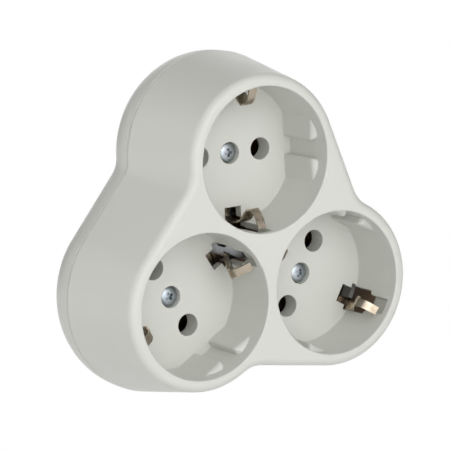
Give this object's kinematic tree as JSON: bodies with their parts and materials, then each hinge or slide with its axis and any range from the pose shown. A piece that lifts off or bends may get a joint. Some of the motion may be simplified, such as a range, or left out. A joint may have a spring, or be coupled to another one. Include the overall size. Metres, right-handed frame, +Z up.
{
  "type": "triple socket adapter",
  "caption": "Plug-in adapter in trefoil form: round recessed earthed sockets with side earth springs on the front, one round plug with two pins on the back.",
  "frame": {"origin": "centre of the plug body's end face, where it meets the floor of the wall socket", "axes": "+Y out of the plug's end face, along its pins; the sockets face -Y; +Z up, through the middle of the top socket; +X to the right seen from the front"},
  "size_m": [0.0936, 0.076, 0.0883],
  "materials": {
    "housing_plastic": "off-white moulded thermoplastic, satin gloss",
    "zinc_screw": "bright zinc plated steel",
    "nickel_contact": "nickel plated spring metal, warm and bright",
    "earth_steel": "plain zinc plated steel sheet",
    "brass": "stamped brass strip"
  },
  "bodies": {
    "root": {"front_housing": "housing_plastic", "rear_cover": "housing_plastic", "assembly_screw_top": "zinc_screw", "assembly_screw_left": "zinc_screw", "assembly_screw_right": "zinc_screw", "earth_clip_top": "nickel_contact", "earth_clip_left": "nickel_contact", "earth_clip_right": "nickel_contact", "earth_star_plate": "earth_steel", "earth_strap": "nickel_contact", "earth_rivet": "earth_steel", "live_busbar": "brass", "neutral_busbar": "brass", "live_plug_pin": "nickel_contact", "neutral_plug_pin": "nickel_contact", "live_contact_top": "brass", "live_contact_left": "brass", "live_contact_right": "brass", "neutral_contact_top": "brass", "neutral_contact_left": "brass", "neutral_contact_right": "brass", "live_rivet_top": "brass", "live_rivet_left": "brass", "live_rivet_right": "brass", "neutral_rivet_top": "brass", "neutral_rivet_left": "brass", "neutral_rivet_right": "brass"}
  },
  "joints": []
}
